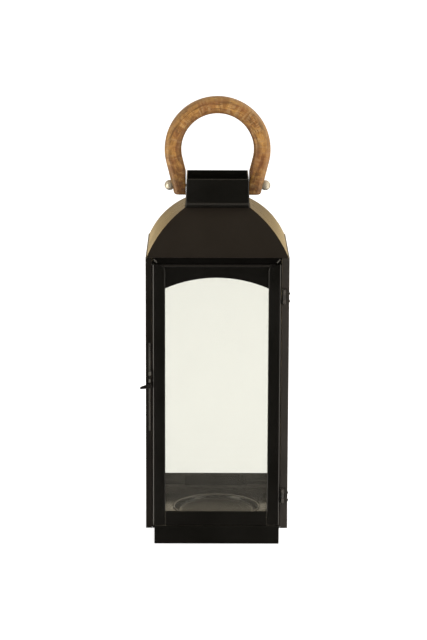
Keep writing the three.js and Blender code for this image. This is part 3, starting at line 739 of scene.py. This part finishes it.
def cylinder(x0, x1, radius):
    """A plain round cutter along X at the handle's pivot."""
    profile = [(x0, 0), (x0, radius), (x1, radius), (x1, 0)]
    return turned("cutter", profile, Vector((0, 0, PIVOT_Z)), CUTTER_STEPS)


# ---------- handle ----------

STOCK_CORNER = 6.5 * MM
LEG_SLOPE = math.radians(14.2)
LEG_INNER_X = 37 * MM
SEAT_X = 50.2 * MM
SEAT_RADIUS = 6.3 * MM
BOLT_HOLE = 2.5 * MM
END_ROUND = 2.2 * MM
CORNER_STEPS = 8
ARC_STEPS = 120
LEG_STEPS = 24

handle_low, handle_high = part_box("wooden_handle")
STOCK = handle_high.y - handle_low.y
RING_RADIUS = handle_high.x - STOCK / 2
RING_Z = handle_high.z - STOCK / 2 - RING_RADIUS
LEG_END_Z = handle_low.z
ARC_HALF = math.pi / 2 + LEG_SLOPE


def stock_section(inset):
    """(outward, through) offsets round the stock, a square with large round corners."""
    reach = STOCK / 2 - STOCK_CORNER
    corner = STOCK_CORNER - inset
    points = []
    for quarter, (su, sv) in enumerate([(1, 1), (-1, 1), (-1, -1), (1, -1)]):
        for i in range(CORNER_STEPS + 1):
            angle = math.pi / 2 * (quarter + i / CORNER_STEPS)
            points.append((su * reach + corner * math.cos(angle), sv * reach + corner * math.sin(angle)))
    return points


def along_ring(angle, radius):
    return Vector((radius * math.sin(angle), 0, RING_Z + radius * math.cos(angle)))


def arc_ring(angle):
    outward = Vector((math.sin(angle), 0, math.cos(angle)))
    middle = along_ring(angle, RING_RADIUS)
    return [middle + u * outward + Vector((0, v, 0)) for u, v in stock_section(0)]


def leg_rings(sign):
    """Rings down one leg, from the end of the arc to a level foot with a rounded edge."""
    angle = sign * ARC_HALF
    outward = Vector((math.sin(angle), 0, math.cos(angle)))
    down = Vector((math.cos(angle), 0, -math.sin(angle))) * sign
    middle = along_ring(angle, RING_RADIUS)

    def foot(height, inset):
        points = []
        for u, v in stock_section(inset):
            start = middle + u * outward + Vector((0, v, 0))
            points.append(start + down * ((LEG_END_Z + height - start.z) / down.z))
        return points

    top = arc_ring(angle)
    full = foot(END_ROUND, 0)
    rings = []
    for i in range(1, LEG_STEPS + 1):
        rings.append([a.lerp(b, i / LEG_STEPS) for a, b in zip(top, full)])
    for i in range(1, 6):
        turn = math.pi / 2 * i / 5
        rings.append(foot(END_ROUND * (1 - math.sin(turn)), END_ROUND * (1 - math.cos(turn))))
    return rings


def flatten_inside(point):
    """Moves a point of a leg's inner side out to the flat that faces the neck."""
    flat_top = RING_Z - math.sqrt((RING_RADIUS - STOCK / 2) ** 2 - LEG_INNER_X**2)
    if point.z < flat_top and abs(point.x) < LEG_INNER_X:
        point.x = math.copysign(LEG_INNER_X, point.x)
    return point


def store_grain(mesh):
    """Keeps each point's place along the bent stock, out from its middle line, and through it."""
    grain = mesh.attributes.new("grain", "FLOAT_VECTOR", "POINT")
    for vertex, value in zip(mesh.vertices, grain.data):
        x, y, z = vertex.co
        angle = math.atan2(x, z - RING_Z)
        if abs(angle) <= ARC_HALF and z > RING_Z - RING_RADIUS * math.sin(LEG_SLOPE):
            value.vector = (angle * RING_RADIUS, math.hypot(x, z - RING_Z) - RING_RADIUS, y)
            continue
        end = math.copysign(ARC_HALF, x)
        outward = Vector((math.sin(end), 0, math.cos(end)))
        down = Vector((math.cos(end), 0, -math.sin(end))) * math.copysign(1, x)
        past = vertex.co - along_ring(end, RING_RADIUS)
        value.vector = (end * RING_RADIUS + math.copysign(past.dot(down), x), past.dot(outward), y)


def ring_handle():
    arc = [arc_ring(ARC_HALF * (2 * i / ARC_STEPS - 1)) for i in range(ARC_STEPS + 1)]
    rings = list(reversed(leg_rings(-1))) + arc + leg_rings(1)
    rings = [[flatten_inside(point) for point in ring] for ring in rings]
    reach = handle_high.x
    cutters = [
        cylinder(-reach, reach, BOLT_HOLE),
        cylinder(-reach, -SEAT_X, SEAT_RADIUS),
        cylinder(SEAT_X, reach, SEAT_RADIUS),
    ]
    mesh = carve(loft("bentwood_ring", rings), cutters)
    store_grain(mesh)
    finish_piece("bentwood_ring", mesh, WOOD, "handle", "wood", "wooden_handle")


ring_handle()


# ---------- neck ----------

NECK_HALF = 36.9 * MM
NECK_TOP_HALF = 36.1 * MM
BEAD_REACH = 0.4 * MM
BEAD_HEIGHT = 3 * MM
NECK_CORNER = 1.2 * MM
NECK_INNER_CORNER = NECK_CORNER - 0.8 * MM
NECK_HOLE = 2.4 * MM


def rounded_square(half, corner, height):
    points = []
    for quarter, (sx, sy) in enumerate([(1, 1), (-1, 1), (-1, -1), (1, -1)]):
        centre = (sx * (half - corner), sy * (half - corner))
        for x, y in arc_points(centre, corner, 90 * quarter, 90 * quarter + 90, 6):
            points.append((x, y, height))
    return points


def neck_profile():
    """(half width, height) points up the outside, over the lip, and down the inside."""
    low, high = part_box("neck")
    flange = high.x
    bead_low = NECK_BEND - BEAD_HEIGHT
    points = [(flange, low.z), (flange, low.z + SHEET), (NECK_HALF, low.z + SHEET)]
    for i in range(9):
        angle = math.pi * (i / 8 - 0.5)
        height = bead_low + BEAD_HEIGHT * (math.sin(angle) + 1) / 2
        points.append((NECK_HALF + BEAD_REACH * math.cos(angle), height))
    lip = NECK_TOP_HALF - SHEET / 2
    for x, z in arc_points((lip, high.z - SHEET / 2), SHEET / 2, 0, 180, 8):
        points.append((x, z))
    return points + [(NECK_HALF - SHEET, NECK_BEND), (NECK_HALF - SHEET, low.z)]


def neck_tube():
    """A square tube with a bead round its bend, a rounded lip, and holes for the bolts."""
    rings = []
    for half, height in neck_profile():
        outside = half > NECK_TOP_HALF - SHEET / 2
        corner = NECK_CORNER if outside else NECK_INNER_CORNER
        rings.append(rounded_square(half, corner, height))
    bore = cylinder(-2 * NECK_HALF, 2 * NECK_HALF, NECK_HOLE)
    mesh = carve(loft("folded_neck", rings, closed=True), [bore])
    finish_piece("folded_neck", mesh, NECK_PAINTED_HIGHLIGHT, "lantern_body", "black_paint", "neck")


neck_tube()


# ---------- handle fixings ----------

BOLT_RADIUS = 2 * MM
THREAD_PITCH = 0.7 * MM
THREAD_DEPTH = 0.35 * MM
BORE = 2.3 * MM
BORE_PAST_CENTRE = 1 * MM
WASHER_EDGE = 0.25 * MM
BALL_STEPS = 24
NUT_STEPS = 48


def mirrored(profile, sign):
    return [(sign * x, radius) for x, radius in profile]


def rounded_disc(x0, x1, radius, inner, soft):
    """The (x, radius) outline of a washer with softened edges."""
    points = [(x0, inner), (x0, radius - soft)]
    for i in range(5):
        angle = math.pi / 2 * i / 4
        points.append((x0 + soft * (1 - math.cos(angle)), radius - soft * (1 - math.sin(angle))))
    for i in range(5):
        angle = math.pi / 2 * i / 4
        points.append((x1 - soft * (1 - math.sin(angle)), radius - soft * (1 - math.cos(angle))))
    return points + [(x1, inner)]


def washer(side, sign, where):
    low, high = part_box(f"{side}_{where}_washer")
    x0, x1 = sorted((abs(low.x), abs(high.x)))
    radius = (high.z - low.z) / 2
    profile = mirrored(rounded_disc(x0, x1, radius, BORE, WASHER_EDGE), sign)
    mesh = turned(f"{side}_{where}_ring", profile, Vector((0, 0, PIVOT_Z)))
    finish_piece(mesh.name, mesh, NICKEL, "lantern_body", "nickel", f"{side}_{where}_washer")


def ball_nut(side, sign):
    """A polished ball with a flat foot and a blind bore."""
    low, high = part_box(f"{side}_ball_nut")
    foot, tip = sorted((abs(low.x), abs(high.x)))
    radius = (high.z - low.z) / 2
    centre = tip - radius
    start = -math.asin((centre - foot) / radius)
    bore_end = centre + BORE_PAST_CENTRE
    profile = [(bore_end, 0), (bore_end, BORE), (foot, BORE)]
    for i in range(BALL_STEPS + 1):
        angle = start + (math.pi / 2 - start) * i / BALL_STEPS
        profile.append((centre + radius * math.sin(angle), max(radius * math.cos(angle), 0)))
    mesh = turned(f"{side}_ball_cap", mirrored(profile, sign), Vector((0, 0, PIVOT_Z)))
    finish_piece(mesh.name, mesh, NICKEL, "lantern_body", "nickel", f"{side}_ball_nut")


def bolt(side, sign):
    """A stud with a rolled thread and chamfered ends."""
    low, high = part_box(f"{side}_bolt")
    x0, x1 = sorted((abs(low.x), abs(high.x)))
    root = BOLT_RADIUS - THREAD_DEPTH
    profile = [(x0, 0), (x0, root)]
    crests = int((x1 - x0 - THREAD_PITCH) / THREAD_PITCH)
    for i in range(crests):
        start = x0 + THREAD_PITCH * (i + 0.5)
        profile += [(start, root), (start + 0.3 * THREAD_PITCH, BOLT_RADIUS)]
        profile += [(start + 0.45 * THREAD_PITCH, BOLT_RADIUS), (start + 0.75 * THREAD_PITCH, root)]
    profile += [(x1, root), (x1, 0)]
    mesh = turned(f"{side}_stud", mirrored(profile, sign), Vector((0, 0, PIVOT_Z)), 40)
    finish_piece(mesh.name, mesh, STEEL, "lantern_body", "nickel", f"{side}_bolt")


def hex_nut(side, sign):
    """A hexagon whose corners are chamfered to a cone at both faces."""
    low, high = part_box(f"{side}_hex_nut")
    x0, x1 = sorted((abs(low.x), abs(high.x)))
    corner = max(high.z - low.z, high.y - low.y) / 2
    flat = corner * math.cos(math.pi / 6)
    rings = []
    for i in range(NUT_STEPS):
        angle = 2 * math.pi * i / NUT_STEPS
        side_angle = (angle + math.pi / 6) % (math.pi / 3) - math.pi / 6
        reach = flat / math.cos(side_angle)
        soft = (reach - flat) * 0.6
        around = Vector((0, math.sin(angle), math.cos(angle)))
        profile = [(x0, BORE), (x0, flat * 0.97), (x0 + soft, reach)]
        profile += [(x1 - soft, reach), (x1, flat * 0.97), (x1, BORE)]
        rings.append([Vector((sign * x, 0, PIVOT_Z)) + radius * around for x, radius in profile])
    mesh = loft(f"{side}_lock_nut", rings, closed=True)
    finish_piece(mesh.name, mesh, STEEL, "lantern_body", "nickel", f"{side}_hex_nut")


for side_name, side_sign in (("right", 1), ("left", -1)):
    washer(side_name, side_sign, "outer")
    washer(side_name, side_sign, "inner")
    ball_nut(side_name, side_sign)
    bolt(side_name, side_sign)
    hex_nut(side_name, side_sign)


# ---------- studio ----------


FLOOR_RADIUS = 14
FLOOR_GLOW = 0.75


def floor():
    """A pale floor that glows enough to look white, and stays out of the lantern's gloss."""
    mesh = bpy.data.meshes.new("studio_floor")
    work = bmesh.new()
    bmesh.ops.create_circle(work, cap_ends=True, segments=96, radius=FLOOR_RADIUS)
    work.to_mesh(mesh)
    work.free()
    piece = bpy.data.objects.new("studio_floor", mesh)
    bpy.context.scene.collection.objects.link(piece)
    material, tree, shader = new_tree("pale_floor")
    shade = noise(tree, place(tree), 0.8, 2)
    pale = blend(tree, shade, (0.86, 0.86, 0.86, 1), (0.88, 0.88, 0.88, 1))
    put(tree, shader.inputs["Base Color"], pale)
    shader.inputs["Roughness"].default_value = 0.7
    shader.inputs["Specular IOR Level"].default_value = 0.1
    shader.inputs["Emission Color"].default_value = (1, 1, 1, 1)
    shader.inputs["Emission Strength"].default_value = FLOOR_GLOW
    mesh.materials.append(material)
    piece.visible_glossy = False


# The room that the lantern's gloss reflects, by direction
DARK_FRONT = (0.058, 0.051, 0.037, 1)
DIM_WALL = (0.16, 0.14, 0.11, 1)
AMBER_LOW = (2.3, 1.78, 1.0, 1)
AMBER_HORIZON = (0.52, 0.335, 0.115, 1)
PALE_HIGH = (1.65, 1.45, 1.18, 1)
LEFT_STRIP = (6.3, 5.9, 5.3, 1)
RIGHT_STRIP = (4.3, 4.0, 3.6, 1)
TAN_SIDE = (0.4, 0.34, 0.26, 1)
DIM_CEILING = (0.26, 0.208, 0.135, 1)

# What lights the lantern's paint, and what the camera sees behind it
SOFT_LIGHT = (0.5, 0.49, 0.48, 1)
BACKDROP = (1.03, 1.03, 1.03, 1)


def far_wall(tree, z):
    """Dim at the foot, bright amber above it, dim amber at the horizon, and pale above that."""
    low = blend(tree, spread(tree, z, -0.28, -0.2, 0, 1), DIM_WALL, AMBER_LOW)
    far = blend(tree, spread(tree, z, -0.17, 0.04, 0, 1), low, AMBER_HORIZON)
    return blend(tree, spread(tree, z, 0.12, 0.22, 0, 1), far, PALE_HIGH)


def reflected_room(tree):
    """Dark in front, tan at the sides, dim overhead, and a bright strip at each side in front."""
    direction = node(tree, "ShaderNodeTexCoord").outputs["Generated"]
    part = node(tree, "ShaderNodeSeparateXYZ", {0: direction})
    x, y, z = (part.outputs[axis] for axis in "XYZ")
    beside = math_node(tree, "ABSOLUTE", x)
    room = blend(tree, spread(tree, y, -0.8, 0.2, 0, 1), DARK_FRONT, DIM_WALL)
    room = blend(tree, spread(tree, y, 0.8, 0.92, 0, 1), room, far_wall(tree, z))
    inner = spread(tree, beside, 0.6, 0.72, 0, 1)
    outer = spread(tree, beside, 0.9, 0.95, 1, 0)
    in_front = spread(tree, y, 0, 0.1, 1, 0)
    strip = math_node(tree, "MULTIPLY", math_node(tree, "MULTIPLY", inner, outer), in_front)
    strips = blend(tree, spread(tree, x, -0.2, 0.2, 0, 1), LEFT_STRIP, RIGHT_STRIP)
    room = blend(tree, strip, room, strips)
    room = blend(tree, spread(tree, beside, 0.93, 0.98, 0, 1), room, TAN_SIDE)
    return blend(tree, spread(tree, z, 0.26, 0.5, 0, 1), room, DIM_CEILING)


def studio_world():
    """Soft even light, a white backdrop, and a warmer room that only the lantern's gloss reflects."""
    world = bpy.data.worlds.new("studio")
    bpy.context.scene.world = world
    world.use_nodes = True
    tree = world.node_tree
    room = reflected_room(tree)
    path = node(tree, "ShaderNodeLightPath")
    seen = blend(tree, path.outputs["Is Glossy Ray"], SOFT_LIGHT, room)
    seen = blend(tree, path.outputs["Is Camera Ray"], seen, BACKDROP)
    put(tree, tree.nodes["Background"].inputs["Color"], seen)


def softbox(name, place_at, aim, size, power, colour, in_gloss=True):
    """A rectangular lamp aimed at a point. Only those in the gloss show as reflections."""
    data = bpy.data.lights.new(name, "AREA")
    data.shape = "RECTANGLE"
    data.size, data.size_y = size
    data.energy = power
    data.color = colour
    lamp = bpy.data.objects.new(name, data)
    lamp.location = place_at
    lamp.rotation_euler = (Vector(aim) - Vector(place_at)).to_track_quat("-Z", "Y").to_euler()
    bpy.context.scene.collection.objects.link(lamp)
    lamp.visible_glossy = in_gloss


def camera():
    data = bpy.data.cameras.new("camera")
    data.lens = CAMERA_LENS
    data.sensor_width = SENSOR_WIDTH
    view = bpy.data.objects.new("camera", data)
    turn = Matrix.Rotation(CAMERA_TURN, 4, "Z")
    tilt = Matrix.Rotation(math.pi / 2 - CAMERA_PITCH, 4, "X")
    roll = Matrix.Rotation(CAMERA_ROLL, 4, "Z")
    view.matrix_world = Matrix.Translation(CAMERA_PLACE) @ turn @ tilt @ roll
    data.clip_end = 60
    bpy.context.scene.collection.objects.link(view)
    bpy.context.scene.camera = view


floor()
studio_world()
softbox("left_box", (-2.2, 0.8, 2.2), (0, 0, 0.2), (2, 2), 12, (1, 0.98, 0.95))
softbox("right_box", (2.2, 0.8, 2.2), (0, 0, 0.2), (2, 2), 32, (1, 0.98, 0.95))
softbox("front_key", (1.9, -2.1, 2.2), (0, 0, 0.4), (1.2, 1.2), 25, (1, 0.97, 0.93), in_gloss=False)
camera()
bpy.context.scene.view_settings.view_transform = "Standard"
